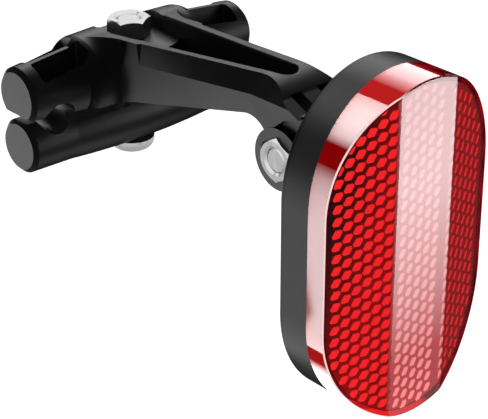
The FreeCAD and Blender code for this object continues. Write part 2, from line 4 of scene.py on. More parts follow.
import bmesh
import bpy
import mathutils
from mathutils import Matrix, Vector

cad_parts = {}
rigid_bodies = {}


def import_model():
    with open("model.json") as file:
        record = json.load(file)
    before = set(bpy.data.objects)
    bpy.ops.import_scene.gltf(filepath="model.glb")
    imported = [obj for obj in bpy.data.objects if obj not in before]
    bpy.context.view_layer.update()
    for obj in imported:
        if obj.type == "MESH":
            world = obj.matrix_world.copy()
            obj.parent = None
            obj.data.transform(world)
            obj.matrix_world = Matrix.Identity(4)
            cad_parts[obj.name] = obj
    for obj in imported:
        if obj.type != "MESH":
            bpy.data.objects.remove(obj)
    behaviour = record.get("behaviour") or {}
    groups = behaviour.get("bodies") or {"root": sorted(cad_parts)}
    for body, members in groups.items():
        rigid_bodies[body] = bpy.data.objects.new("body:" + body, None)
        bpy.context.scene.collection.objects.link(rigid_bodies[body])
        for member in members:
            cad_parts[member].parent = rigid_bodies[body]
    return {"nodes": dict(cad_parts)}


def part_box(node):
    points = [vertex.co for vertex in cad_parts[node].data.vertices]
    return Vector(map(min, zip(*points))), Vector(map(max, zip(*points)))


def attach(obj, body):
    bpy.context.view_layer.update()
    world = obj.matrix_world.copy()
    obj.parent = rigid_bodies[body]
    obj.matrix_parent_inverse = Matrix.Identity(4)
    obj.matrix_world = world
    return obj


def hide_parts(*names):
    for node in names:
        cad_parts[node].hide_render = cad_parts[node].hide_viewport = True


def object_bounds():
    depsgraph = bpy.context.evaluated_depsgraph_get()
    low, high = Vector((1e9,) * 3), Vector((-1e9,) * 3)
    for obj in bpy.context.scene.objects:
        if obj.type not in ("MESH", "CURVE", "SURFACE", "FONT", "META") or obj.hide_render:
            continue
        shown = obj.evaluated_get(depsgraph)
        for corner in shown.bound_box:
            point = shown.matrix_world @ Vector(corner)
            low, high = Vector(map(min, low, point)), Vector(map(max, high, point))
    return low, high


bl_info = {
    "name": "Saddle Rail Reflector",
    "version": (1, 0, 0),
    "blender": (4, 5, 0),
    "location": "View3D > Sidebar > Reflector",
    "description": "Dresses the packed saddle rail reflector with its lens, prisms, finishes "
                   "and studio",
    "category": "Object",
}

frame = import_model()
CAD_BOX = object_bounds()
MM = 0.001
MERGE_DISTANCE = 2e-6

# The head's outline, from its solids
LENS_LOW, LENS_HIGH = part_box("lens")
FRONT_Y = LENS_LOW.y
LENS_BACK_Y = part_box("housing")[0].y
HEAD_MID_Z = (LENS_LOW.z + LENS_HIGH.z) / 2
HEAD_HALF_W = (LENS_HIGH.x - LENS_LOW.x) / 2
HEAD_HALF_H = (LENS_HIGH.z - LENS_LOW.z) / 2

# Nodes and pieces that share a finish or a light
STEEL_NODES = ("clamp_bolt", "clamp_nut", "hinge_bolt", "hinge_nut")
SHELL_NODES = ("housing", "back_cover")
CLAMP_NODES = ("arm", "lower_jaw")
LENS_PIECES = ("lens_shell", "lens_prisms", "prism_bed")

# Lens shell: material slots, stations across the front and fixed small sizes
CLEAR_RED, WALL_RED, INNER_RED, EDGE_RED = 0, 1, 2, 3
FLAT_STEPS, SIDE_STEPS, EDGE_STEPS = 6, 20, 5
EDGE_HOLD = 0.04 * MM
INNER_FOLD_SHIFT = 0.55 * MM
SHARP_ANGLE = math.radians(12)

# Prisms. Each facet has its side, its number of columns, where their middle lies along it (from
# its fold, or from the centre for the middle one), and which of its columns lie half a row up
FACETS = ((-1, 6, -5.75 * MM, 0), (0, 5, 0.1 * MM, 0), (1, 6, 6.23 * MM, 1))
PRISM_LABELS = ("Left prism", "Middle prism", "Right prism")
CUBE_DEPTH = 1.02 * MM
GLASS = 1.5
ROW_PHASE = 0.73 * MM
PRISM_CLEAR = 0.06 * MM
PRISM_RELIEF = 0.12 * MM
PRISM_DEPTH = 0.8 * MM
OPENING_SHARE = 0.9
# Painted light on the openings' sides, as a share of the openings'
OPENING_SIDE_LIGHT = 0.3
BED_GAP = 0.1 * MM
BED_THICKNESS = 1.0 * MM

# Camera: its place, the direction from the reflector to it, and its right
EYE = (-0.2156, -0.2770, 0.1493)
TO_EYE = (-0.593, -0.6632, 0.4566)
CAMERA_RIGHT = (0.7455, -0.6665, 0.0)
SENSOR_MM = 36.0
CLIP_RANGE = (0.01, 50.0)

# Cards that show in the side of the head: name, then strength by the angle of the outline
WALL_CARDS = (
    ("Upper wall card", ((72.0, 0.5), (77.0, 3.0), (83.0, 6.0), (98.0, 5.0))),
    ("Shoulder card", ((34.0, 0.5), (38.0, 10.0), (45.0, 14.0), (54.0, 13.0), (61.0, 8.0))),
    ("Side card", ((-9.0, 7.5), (10.0, 8.0), (18.0, 6.0), (24.0, 0.5))),
    ("Lower wall card", ((-75.0, 1.8), (-45.0, 3.0), (-22.0, 6.0), (-16.3, 6.5))))
WALL_CARD_Y = (-75.5 * MM, -85.5 * MM)
SHELL_CARDS = (("Shoulder shell card", ((36.0, 0.0), (46.0, 10.0), (58.0, 10.0), (68.0, 0.0))),)
SHELL_CARD_Y = (-50.0 * MM, -76.0 * MM)
CARD_REACH = 0.5
CARD_STEPS = 12

# The card over the middle facet: its size against the facet's, its strengths, and the parts of
# its height between which they change
FACET_CARD_SIZE = (1.1, 1.05)
FACET_CARD_STRENGTHS = (0.7, 7.9)
FACET_CARD_FADE = (0.2, 0.7)

# The card before the bars (its X, Y and Z) and the dome round the steel
ARM_CARD = ((-30.0 * MM, -9.5 * MM), -9.6 * MM, (-24.0 * MM, 14.0 * MM))
ARM_CARD_STRENGTHS = (1.2, 0.3)
ARM_CARD_FADE = (-4.8 * MM, 14.0 * MM)
DOME_RADIUS = 3.0
DOME_STRENGTHS = (0.45, 0.9)
DOME_FADE = (-0.8, 0.5)

# Soft lights: name, place from the focus, size and power
FOCUS = (0.0, -0.045, 0.0)
SOFT_CARDS = (
    ("Left card", (-0.50, 0.66, -0.50), (0.95, 0.9), 5.0),
    ("Front card", (0.66, -0.68, 0.02), (0.3, 0.5), 1.6),
    ("Low card", (0.25, -0.30, -0.85), (0.7, 0.7), 1.1),
    ("Back card", (0.25, 0.85, -0.40), (0.5, 0.5), 2.0),
    ("Top card", (0.52, 0.62, 0.58), (0.6, 0.6), 3.4))
FLOOR_HALF = 8.0
WHITE = (1.0, 1.0, 1.0, 1.0)
FLOOR_COLOUR = (0.9, 0.9, 0.9, 1.0)

# Colours that aren't settings: pairs go from dark to bright, the painted reflection's from the
# foot to the top
# Edge colours: partly worn edges, partly a painted highlight along them
WORN_AND_HIGHLIT_BLACK = (0.06, 0.06, 0.06)
WORN_AND_HIGHLIT_STEEL = (0.95, 0.95, 0.96)
# The side wall's pale red is a painted reflection; its dark reds are painted shade
WALL_REFLECTION_RED = (0.75, 0.02, 0.02)
WALL_SHADE_REDS = ((0.12, 0.0, 0.004), (0.4, 0.004, 0.012))
# The front edge's bright red is a painted highlight
EDGE_HIGHLIGHT_REDS = ((0.10, 0.001, 0.003), (1.0, 0.72, 0.72))
CLEAR_REDS = ((1.0, 0.50, 0.52), (1.0, 0.58, 0.60))
# The inner wall's dark reds are painted shade
INNER_SHADE_REDS = ((0.09, 0.0, 0.004), (0.13, 0.0, 0.006))
# Gap reds are painted shade, with painted light to the lower right; the two below are a painted
# reflection
GAP_SHADE_REDS = ((0.012, 0.0, 0.0), (0.26, 0.001, 0.004))
REFLECTION_ON_GAPS = ((0.42, 0.03, 0.035), (0.58, 0.24, 0.25))
REFLECTION_ON_OPENINGS = ((1.0, 0.5, 0.5), (0.86, 0.55, 0.56))

# Ranges in which a red of the lens changes: by height, by X or by the grain's mottle. The changes
# by height and by X place painted reflection, painted shade and a painted highlight
WALL_REFLECTION_ABOVE = (25.625 * MM, 31.875 * MM)
WALL_REFLECTION_BELOW = (-7.5 * MM, -24.167 * MM)
WALL_SHADE_X = (2.4 * MM, 4.4 * MM)
WALL_STREAKS = (0.44, 0.64)
EDGE_HIGHLIGHT_X = (-4.667 * MM, -8.0 * MM)
REFLECTION_CALM = (-35.714 * MM, 35.714 * MM)

# The middle facet's X and half-width for the painted reflection; how the painted light on the gaps
# makes them more red and how the painted reflection brightens, each as change per metre and value
# at the origin
MIDDLE_ZONE = (0.65 * MM, 7.25 * MM)
GAP_ACROSS, GAP_UP, GAP_START = 90.0, -22.0, 1.75
REFLECTION_UP, REFLECTION_START = -7.9, 0.81

# How strongly the parts of the lens glow, a painted glow (the wall's front, and what its back
# adds), and optics
WALL_GLOW = (0.45, 0.35)
EDGE_GLOW = 0.8
INNER_GLOW = 0.3
PRISM_GLOW = 0.8
WALL_IOR = 1.58
FAINT_SHEEN = 0.05


class LensSettings(bpy.types.PropertyGroup):
    """Sizes of the lens and of the prisms behind it."""
    end_rise: bpy.props.FloatProperty(
        name="End rise", description="Height of each half-elliptic end of the outline",
        default=22.8 * MM, unit="LENGTH")
    middle_half: bpy.props.FloatProperty(
        name="Middle facet half-width",
        description="Half the width of the flat facet in the middle",
        default=7.03 * MM, unit="LENGTH")
    fold: bpy.props.FloatProperty(
        name="Facet fold", description="Angle between the middle facet and a side facet",
        default=math.radians(16.1), subtype="ANGLE")
    wall: bpy.props.FloatProperty(
        name="Side wall", description="Thickness of the lens's side wall",
        default=1.1 * MM, unit="LENGTH")
    face: bpy.props.FloatProperty(
        name="Front wall", description="Thickness of the clear front",
        default=1.0 * MM, unit="LENGTH")
    edge: bpy.props.FloatProperty(
        name="Edge radius", description="Rounding of the front edge",
        default=0.2 * MM, unit="LENGTH")
    cell: bpy.props.FloatProperty(
        name="Prism pitch", description="Distance between neighbouring prisms across their flats",
        default=2.45 * MM, unit="LENGTH")
    joint: bpy.props.FloatProperty(
        name="Prism joint", description="Width of the joint between neighbouring prisms",
        default=0.1 * MM, unit="LENGTH")


class FinishSettings(bpy.types.PropertyGroup):
    """Colours of the finishes."""
    black: bpy.props.FloatVectorProperty(
        name="Black plastic", description="Moulded black plastic",
        default=(0.012, 0.012, 0.0125), size=3, min=0, max=1, subtype="COLOR")
    steel: bpy.props.FloatVectorProperty(
        name="Plated steel", description="Zinc plated nuts and bolts",
        default=(0.82, 0.82, 0.83), size=3, min=0, max=1, subtype="COLOR")
    red: bpy.props.FloatVectorProperty(
        name="Lens red", description="Red of the lens's side wall",
        default=(0.42, 0.0015, 0.003), size=3, min=0, max=1, subtype="COLOR")
    # The prisms' lit red: painted light in their openings
    prism: bpy.props.FloatVectorProperty(
        name="Prism red", description="Bright openings of the prisms",
        default=(1.0, 0.034, 0.038), size=3, min=0, max=1, subtype="COLOR")


class StudioSettings(bpy.types.PropertyGroup):
    """Light and camera."""
    floor_drop: bpy.props.FloatProperty(
        name="Floor drop", description="How far the floor lies below the reflector",
        default=0.9, unit="LENGTH")
    ambient: bpy.props.FloatProperty(
        name="Ambient light", description="Strength of the even light from all round",
        default=0.22, min=0)
    shine: bpy.props.FloatProperty(
        name="Ambient shine", description="Strength of the light from all round in reflections",
        default=0.05, min=0)
    lens_mm: bpy.props.FloatProperty(
        name="Focal length", description="Focal length on a 36 mm sensor, in millimetres",
        default=132.9, min=1)


# Meshes and objects

def new_object(name, mesh):
    """Puts a mesh into the scene as an object at the origin."""
    obj = bpy.data.objects.new(name, mesh)
    bpy.context.scene.collection.objects.link(obj)
    return obj


def new_mesh(name, verts, faces=()):
    """A mesh made from points and faces."""
    mesh = bpy.data.meshes.new(name)
    mesh.from_pydata(verts, [], faces)
    return mesh


def close_mesh(mesh):
    """Joins doubled points and turns the faces outwards."""
    bm = bmesh.new()
    bm.from_mesh(mesh)
    bmesh.ops.remove_doubles(bm, verts=bm.verts, dist=MERGE_DISTANCE)
    bmesh.ops.recalc_face_normals(bm, faces=bm.faces)
    bm.to_mesh(mesh)
    bm.free()


def write_attribute(mesh, name, kind, domain, values):
    """Writes a named attribute with one value for each point or face."""
    attribute = mesh.attributes.new(name, kind, domain)
    for item, value in zip(attribute.data, values):
        item.value = value


# Shader nodes

def feed(node, values):
    """Sets a node's inputs by name; each value is a number, a vector or a socket to link from."""
    for label, value in values.items():
        if isinstance(value, bpy.types.NodeSocket):
            node.id_data.links.new(value, node.inputs[label])
        else:
            node.inputs[label].default_value = value


def maths(nodes, operation, *values):
    """A Math node; each value is a number or a socket to link from."""
    node = nodes.new("ShaderNodeMath")
    node.operation = operation
    for i, value in enumerate(values):
        if isinstance(value, (int, float)):
            node.inputs[i].default_value = value
        else:
            node.id_data.links.new(value, node.inputs[i])
    return node.outputs[0]


def map_range(nodes, value, start, end, first=0.0, last=1.0):
    """Maps one range to another and holds the result inside it."""
    node = nodes.new("ShaderNodeMapRange")
    feed(node, {"Value": value, "From Min": start, "From Max": end,
                "To Min": first, "To Max": last})
    return node.outputs["Result"]


def mix_colour(nodes, factor, a, b, blend="MIX"):
    """A colour mix between two sockets or colours."""
    node = nodes.new("ShaderNodeMix")
    node.data_type = "RGBA"
    node.blend_type = blend
    for socket, value in ((node.inputs[0], factor), (node.inputs[6], a), (node.inputs[7], b)):
        if isinstance(value, bpy.types.NodeSocket):
            node.id_data.links.new(value, socket)
        else:
            socket.default_value = value if isinstance(value, float) else (*value[:3], 1.0)
    return node.outputs[2]


def scaled(colour, factor):
    """A colour made darker or brighter."""
    return [c * factor for c in colour]


def object_xyz(nodes):
    """The sockets of the object's own X, Y and Z."""
    coords = nodes.new("ShaderNodeTexCoord")
    parts = nodes.new("ShaderNodeSeparateXYZ")
    feed(parts, {"Vector": coords.outputs["Object"]})
    return parts.outputs["X"], parts.outputs["Y"], parts.outputs["Z"]


def group_with(name, inputs, outputs):
    """An empty shader group with named sockets, and its input and output nodes."""
    group = bpy.data.node_groups.new(name, "ShaderNodeTree")
    for label, kind, value in inputs:
        socket = group.interface.new_socket(name=label, in_out="INPUT", socket_type=kind)
        socket.default_value = value
    for label, kind in outputs:
        group.interface.new_socket(name=label, in_out="OUTPUT", socket_type=kind)
    return group, group.nodes.new("NodeGroupInput"), group.nodes.new("NodeGroupOutput")


def make_grain_group():
    """Fine moulded grain: a height for bump, an uneven roughness and a coarse mottle."""
    group, inp, out = group_with(
        "Moulded grain",
        [("Scale", "NodeSocketFloat", 4000.0), ("Roughness", "NodeSocketFloat", 0.4),
         ("Spread", "NodeSocketFloat", 0.06)],
        [("Height", "NodeSocketFloat"), ("Roughness", "NodeSocketFloat"),
         ("Mottle", "NodeSocketFloat")])
    nodes = group.nodes
    coords = nodes.new("ShaderNodeTexCoord")
    fine, coarse = nodes.new("ShaderNodeTexNoise"), nodes.new("ShaderNodeTexNoise")
    feed(fine, {"Vector": coords.outputs["Object"], "Scale": inp.outputs["Scale"], "Detail": 3.0})
    feed(coarse, {"Vector": coords.outputs["Object"], "Scale": 180.0, "Detail": 4.0})
    swing = maths(nodes, "SUBTRACT", coarse.outputs["Fac"], 0.5)
    uneven = maths(nodes, "MULTIPLY_ADD", swing, inp.outputs["Spread"], inp.outputs["Roughness"])
    feed(out, {"Height": fine.outputs["Fac"], "Roughness": uneven,
               "Mottle": coarse.outputs["Fac"]})
    return group


def make_edge_group():
    """A mask that is bright where the surface turns sharply, for edges made paler, partly as worn
    edges and partly as a painted highlight.
    """
    group, inp, out = group_with(
        "Edge light",
        [("Low", "NodeSocketFloat", 0.52), ("High", "NodeSocketFloat", 0.60)],
        [("Mask", "NodeSocketFloat")])
    geometry = group.nodes.new("ShaderNodeNewGeometry")
    mask = map_range(group.nodes, geometry.outputs["Pointiness"],
                     inp.outputs["Low"], inp.outputs["High"])
    feed(out, {"Mask": mask})
    return group


GRAIN = make_grain_group()
EDGE = make_edge_group()


def place_group(nodes, group, **values):
    """A group node with its inputs set."""
    node = nodes.new("ShaderNodeGroup")
    node.node_tree = group
    feed(node, values)
    return node


def grain_bump(nodes, grain, strength, distance):
    """A bump made from the grain's height."""
    bump = nodes.new("ShaderNodeBump")
    feed(bump, {"Strength": strength, "Distance": distance, "Height": grain.outputs["Height"]})
    return bump.outputs["Normal"]


def plain_material(name):
    """A material with its Principled shader."""
    material = bpy.data.materials.new(name)
    material.use_nodes = True
    return material, material.node_tree.nodes, material.node_tree.nodes["Principled BSDF"]


# Finishes

def black_plastic(name, roughness, grain_height, shine):
    """Black glass-filled plastic with a fine satin grain and slightly paler edges, partly worn and
    partly a painted highlight.
    """
    colour = bpy.context.scene.reflector_finish.black
    material, nodes, shader = plain_material(name)
    grain = place_group(nodes, GRAIN, Scale=5200.0, Roughness=roughness, Spread=0.05)
    edge = place_group(nodes, EDGE, Low=0.53, High=0.62)
    mottle = maths(nodes, "MULTIPLY", grain.outputs["Mottle"], 0.35)
    base = mix_colour(nodes, mottle, colour, scaled(colour, 1.6))
    # Paler edges: partly worn, partly a painted highlight
    wear_and_highlight = maths(nodes, "MULTIPLY", edge.outputs["Mask"], 0.5)
    feed(shader, {"Base Color": mix_colour(nodes, wear_and_highlight, base, WORN_AND_HIGHLIT_BLACK),
                  "Roughness": grain.outputs["Roughness"],
                  "Specular IOR Level": shine,
                  "Normal": grain_bump(nodes, grain, 0.25, grain_height)})
    return material


def plated_steel(name):
    """Bright zinc plating with fine turning marks, small dull patches and paler edges, partly worn
    and partly a painted highlight.
    """
    colour = bpy.context.scene.reflector_finish.steel
    material, nodes, shader = plain_material(name)
    grain = place_group(nodes, GRAIN, Scale=2600.0, Roughness=0.22, Spread=0.12)
    edge = place_group(nodes, EDGE, Low=0.52, High=0.6)
    mottle = maths(nodes, "MULTIPLY", grain.outputs["Mottle"], 0.3)
    base = mix_colour(nodes, mottle, colour, scaled(colour, 0.8))
    # Paler edges: partly worn, partly a painted highlight
    feed(shader, {"Base Color": mix_colour(nodes, edge.outputs["Mask"], base, WORN_AND_HIGHLIT_STEEL),
                  "Roughness": grain.outputs["Roughness"],
                  "Metallic": 1.0,
                  "Normal": grain_bump(nodes, grain, 0.12, 0.02 * MM)})
    return material


def lens_clear_red(name):
    """The clear front of the lens."""
    material, nodes, shader = plain_material(name)
    grain = place_group(nodes, GRAIN, Scale=500.0, Roughness=0.01, Spread=0.01)
    feed(shader, {"Base Color": mix_colour(nodes, grain.outputs["Mottle"], *CLEAR_REDS),
                  "Roughness": grain.outputs["Roughness"],
                  "Transmission Weight": 1.0,
                  "IOR": GLASS})
    return material


def lens_side_red(name):
    """Red of the side wall: deep, paler at its top and foot with a painted reflection, streaked
    dark past the top with painted shade, and with a painted glow.
    """
    colour = bpy.context.scene.reflector_finish.red
    material, nodes, shader = plain_material(name)
    grain = place_group(nodes, GRAIN, Scale=700.0, Roughness=0.05, Spread=0.02)
    x, _, z = object_xyz(nodes)
    # Painted reflection: paler red at the wall's top and foot
    rise = maths(nodes, "SUBTRACT", z, HEAD_MID_Z)
    pale = maths(nodes, "MAXIMUM", map_range(nodes, rise, *WALL_REFLECTION_ABOVE),
                 map_range(nodes, rise, *WALL_REFLECTION_BELOW))
    deep = mix_colour(nodes, grain.outputs["Mottle"], scaled(colour, 0.6), scaled(colour, 0.95))
    near = mix_colour(nodes, pale, deep, WALL_REFLECTION_RED)
    # Painted shade: dark streaked red where x passes 2.4 to 4.4 mm
    streaks = map_range(nodes, grain.outputs["Mottle"], *WALL_STREAKS)
    past = mix_colour(nodes, streaks, *WALL_SHADE_REDS)
    base = mix_colour(nodes, map_range(nodes, x, *WALL_SHADE_X), near, past)
    # Painted glow: the colour is also emitted, more from the wall's back
    geometry = nodes.new("ShaderNodeNewGeometry")
    front, back = WALL_GLOW
    glow = maths(nodes, "MULTIPLY_ADD", geometry.outputs["Backfacing"], back, front)
    feed(shader, {"Base Color": base, "Emission Color": base, "Emission Strength": glow,
                  "Roughness": grain.outputs["Roughness"],
                  "IOR": WALL_IOR})
    return material


def lens_edge_red(name):
    """The round front edge: a painted highlight as a bright line on the left, dark red elsewhere,
    with a painted glow.
    """
    material, nodes, shader = plain_material(name)
    grain = place_group(nodes, GRAIN, Scale=700.0, Roughness=0.08, Spread=0.02)
    # Painted highlight: a bright line along the left of the edge
    lit = map_range(nodes, object_xyz(nodes)[0], *EDGE_HIGHLIGHT_X)
    base = mix_colour(nodes, lit, *EDGE_HIGHLIGHT_REDS)
    feed(shader, {"Base Color": base, "Emission Color": base, "Emission Strength": EDGE_GLOW,
                  "Roughness": grain.outputs["Roughness"]})
    return material


def inner_wall_red(name):
    """The wall's inside in painted shade, darker than its outside, with a painted glow besides the
    light from outside.
    """
    material, nodes, shader = plain_material(name)
    grain = place_group(nodes, GRAIN, Scale=900.0, Roughness=0.35, Spread=0.1)
    # Painted shade: darker red than the wall's outside; it also glows, a painted glow
    base = mix_colour(nodes, grain.outputs["Mottle"], *INNER_SHADE_REDS)
    feed(shader, {"Base Color": base, "Emission Color": base, "Emission Strength": INNER_GLOW,
                  "Roughness": grain.outputs["Roughness"],
                  "Specular IOR Level": FAINT_SHEEN})
    return material


def prism_red(name):
    """The prisms: bright openings of painted light by the Painted light attribute, gaps in painted
    shade, and painted light that makes the gaps more red to the lower right.

    Behind the middle facet both are paler with a painted reflection, brighter towards the foot and
    calmer towards the top; all of it also has a painted glow.
    """
    colour = bpy.context.scene.reflector_finish.prism
    material, nodes, shader = plain_material(name)
    attribute = nodes.new("ShaderNodeAttribute")
    attribute.attribute_name = "Painted light"
    painted_light = attribute.outputs["Fac"]
    x, _, z = object_xyz(nodes)
    # Painted light on the gaps, more red towards the lower right
    across = maths(nodes, "MULTIPLY_ADD", x, GAP_ACROSS, GAP_START)
    lit_gaps = maths(nodes, "MULTIPLY_ADD", z, GAP_UP, across)
    lit_gaps.node.use_clamp = True
    grain = place_group(nodes, GRAIN, Scale=900.0, Roughness=0.4, Spread=0.1)
    level = maths(nodes, "MULTIPLY_ADD", grain.outputs["Mottle"], 0.1, painted_light)
    base = mix_colour(nodes, maths(nodes, "MULTIPLY", level, painted_light),
                      mix_colour(nodes, lit_gaps, *GAP_SHADE_REDS), colour)
    # Painted reflection behind the middle facet: paler, brighter to the foot, calmer to the top
    calm = map_range(nodes, z, *REFLECTION_CALM)
    painted_reflection = mix_colour(nodes, painted_light, mix_colour(nodes, calm, *REFLECTION_ON_GAPS),
                      mix_colour(nodes, calm, *REFLECTION_ON_OPENINGS))
    strength = maths(nodes, "MULTIPLY_ADD", z, REFLECTION_UP, REFLECTION_START)
    with_painted_reflection = mix_colour(nodes, 1.0, painted_reflection, strength, blend="MULTIPLY")
    middle = maths(nodes, "COMPARE", x, *MIDDLE_ZONE)
    seen = mix_colour(nodes, middle, base, with_painted_reflection)
    # Painted glow: the colour is also emitted
    feed(shader, {"Base Color": seen, "Emission Color": seen, "Emission Strength": PRISM_GLOW,
                  "Roughness": grain.outputs["Roughness"],
                  "Specular IOR Level": FAINT_SHEEN})
    return material


# Lens

def facet_depth(settings, x, shift=0.0):
    """How far the front lies behind its middle facet at this x, with its right fold shifted."""
    past_fold = max(-x - settings.middle_half, x - settings.middle_half - shift, 0.0)
    return past_fold * math.tan(settings.fold)


def half_xs(fold, half):
    """Stations from the middle to one side, one on the fold and closer together near the side."""
    turns = [math.sin(math.pi / 2 * i / SIDE_STEPS) for i in range(SIDE_STEPS + 1)]
    return [fold * i / FLAT_STEPS for i in range(FLAT_STEPS)] + [
        fold + (half - fold) * turn for turn in turns]


def front_xs(settings, half, shift):
    """Stations across the front, with one on each facet fold."""
    left, right = (half_xs(settings.middle_half + more, half) for more in (0.0, shift))
    return [-x for x in left[:0:-1]] + right


def end_height(settings, inset, x):
    """Half the height of the outline at this x, measured from the head's middle."""
    across = x / (HEAD_HALF_W - inset)
    rise = (settings.end_rise - inset) * math.sqrt(max(1 - across ** 2, 0.0))
    return HEAD_HALF_H - settings.end_rise + rise


def front_grid(settings, inset, setback, shift=0.0):
    """Points and faces over the front inside the inset outline, one strip for each station."""
    xs = front_xs(settings, HEAD_HALF_W - inset, shift)
    straight = HEAD_HALF_H - settings.end_rise
    verts, faces = [], []
    for x in xs:
        y = FRONT_Y + setback + facet_depth(settings, x, shift)
        top = end_height(settings, inset, x)
        verts += [(x, y, HEAD_MID_Z + z) for z in (top, straight, -straight, -top)]
    for i in range(len(xs) - 1):
        for a in range(4 * i, 4 * i + 3):
            faces.append((a, a + 1, a + 5, a + 4))
    return verts, faces


def front_ring(settings, inset, setback, shift=0.0):
    """The edge of the front as a loop over the same points as the grid's own edge.

    Without a setback the loop lies at the lens's back.
    """
    xs = front_xs(settings, HEAD_HALF_W - inset, shift)
    loop = []
    for sign, row in ((1, xs), (-1, xs[::-1])):
        for x in row:
            y = LENS_BACK_Y
            if setback is not None:
                y = FRONT_Y + setback + facet_depth(settings, x, shift)
            loop.append((x, y, HEAD_MID_Z + sign * end_height(settings, inset, x)))
    return loop


def bridge(first, second, count):
    """Faces between two loops of as many points, given by their first points."""
    return [(first + i, first + (i + 1) % count, second + (i + 1) % count, second + i)
            for i in range(count)]


def add_grid(verts, faces, grid):
    """Adds a grid's points and faces, and tells how many faces it has."""
    grid_verts, grid_faces = grid
    faces += [tuple(len(verts) + i for i in face) for face in grid_faces]
    verts += grid_verts
    return len(grid_faces)


def slab_mesh(name, settings, inset, front, back):
    """A closed plate that follows the three facets between two setbacks behind them."""
    verts, faces = [], []
    for setback in (front, back):
        add_grid(verts, faces, front_grid(settings, inset, setback))
    for setback in (front, back):
        ring = front_ring(settings, inset, setback)
        verts += ring
    count = len(ring)
    faces += bridge(len(verts) - 2 * count, len(verts) - count, count)
    mesh = new_mesh(name, verts, faces)
    close_mesh(mesh)
    return mesh


def shell_parts(settings):
    """Points and faces of the lens's shell, with the material slot of each face.

    The outer loops run from the back of the wall round the front edge, the inner ones along the
    inside of the wall. The rims of both are closed by a grid over the front.
    """
    edge, wall, shift = settings.edge, settings.wall, INNER_FOLD_SHIFT
    outer = [(front_ring(settings, 0.0, None), WALL_RED),
             (front_ring(settings, 0.0, edge + EDGE_HOLD), WALL_RED)]
    for i in range(EDGE_STEPS + 1):
        a = math.pi / 2 * i / EDGE_STEPS
        ring = front_ring(settings, edge * (1 - math.cos(a)), edge * (1 - math.sin(a)))
        outer.append((ring, EDGE_RED if i < EDGE_STEPS else CLEAR_RED))
    outer.append((front_ring(settings, edge + EDGE_HOLD, 0.0), CLEAR_RED))
    inner = [(front_ring(settings, wall, None, shift), INNER_RED),
             (front_ring(settings, wall, settings.face, shift), INNER_RED)]
    loops = outer + inner
    count, rim = len(loops[0][0]), len(outer) - 1
    verts = [point for loop, _ in loops for point in loop]
    faces, slots = [], []
    for k, (_, slot) in enumerate(loops[:-1]):
        if k != rim:
            faces += bridge(k * count, (k + 1) * count, count)
            slots += [slot] * count
    faces += bridge(0, (rim + 1) * count, count)
    slots += [WALL_RED] * count
    for grid in (front_grid(settings, edge + EDGE_HOLD, 0.0),
                 front_grid(settings, wall, settings.face, shift)):
        slots += [CLEAR_RED] * add_grid(verts, faces, grid)
    return verts, faces, slots


class REFLECTOR_OT_lens(bpy.types.Operator):
    """Build the clear red lens with its three facets and round front edge"""
    bl_idname = "reflector.lens"
    bl_label = "Lens"

    def execute(self, context):
        verts, faces, slots = shell_parts(context.scene.reflector_lens)
        mesh = new_mesh("lens_shell", verts, faces)
        for material in (lens_clear_red("Clear red lens"), lens_side_red("Red lens wall"),
                         inner_wall_red("Inner lens wall"), lens_edge_red("Lens edge")):
            mesh.materials.append(material)
        for polygon, slot in zip(mesh.polygons, slots):
            polygon.material_index = slot
            polygon.use_smooth = True
        close_mesh(mesh)
        mesh.set_sharp_from_angle(angle=SHARP_ANGLE)
        shell = new_object("lens_shell", mesh)
        shell.visible_shadow = False
        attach(shell, "head")
        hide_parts("lens")
        return {"FINISHED"}


# Prisms

def clip(points, a, b):
    """The part of a polygon on the left of the line from a to b."""
    def side(p):
        return (b[0] - a[0]) * (p[1] - a[1]) - (b[1] - a[1]) * (p[0] - a[0])
    kept = []
    for p, q in zip(points, points[1:] + points[:1]):
        if side(p) >= 0:
            kept.append(p)
        if side(p) * side(q) < 0:
            t = side(p) / (side(p) - side(q))
            kept.append((p[0] + (q[0] - p[0]) * t, p[1] + (q[1] - p[1]) * t))
    return kept


def bright_shift(settings, side):
    """How far a corner cube's bright opening, its painted light, moves over its facet, seen from
    the camera's side.
    """
    turn = settings.fold * side
    across = mathutils.Vector((math.cos(turn), math.sin(turn), 0))
    out = mathutils.Vector((math.sin(turn), -math.cos(turn), 0))
    eye = mathutils.Vector(TO_EYE)
    flat = mathutils.Vector((eye.dot(across), eye.z))
    steep = flat.length / math.hypot(eye.dot(out), flat.length) / GLASS
    return flat.normalized() * 2 * CUBE_DEPTH * steep / math.sqrt(1 - steep ** 2)


def prism_mesh(name, size, shift):
    """One prism as a closed hexagonal tablet in painted shade with its bright opening, painted
    light, raised on it.

    The opening is the hexagon cut by its own moved copy. It is a closed plate that stops just
    short of the tablet.
    """
    radius = size / math.sqrt(3)
    hexagon = [(radius * math.cos(math.radians(60 * i)), radius * math.sin(math.radians(60 * i)))
               for i in range(6)]
    moved = [(u + shift.x, z + shift.y) for u, z in hexagon]
    opening = hexagon
    for a, b in zip(moved, moved[1:] + moved[:1]):
        opening = clip(opening, a, b)
    verts, faces, painted_lights = [], [], []
    # The tablet carries painted shade, the opening painted light, its sides part of that light
    for outline, front, back, painted_light in ((hexagon, PRISM_RELIEF, PRISM_DEPTH, 0.0),
                                       (opening, 0.0, PRISM_RELIEF * OPENING_SHARE, 1.0)):
        start, count = len(verts), len(outline)
        verts += [(u, y, z) for y in (front, back) for u, z in outline]
        faces += [tuple(range(start, start + count)),
                  tuple(range(start + count, start + 2 * count))]
        faces += bridge(start, start + count, count)
        painted_lights += [painted_light, 0.0] + [OPENING_SIDE_LIGHT * painted_light] * count
    mesh = new_mesh(name, verts, faces)
    write_attribute(mesh, "Painted light", "FLOAT", "FACE", painted_lights)
    return mesh


def named_attribute(nodes, name, kind):
    """The output of a named attribute in geometry nodes."""
    node = nodes.new("GeometryNodeInputNamedAttribute")
    node.data_type = kind
    node.inputs["Name"].default_value = name
    return node.outputs["Attribute"]


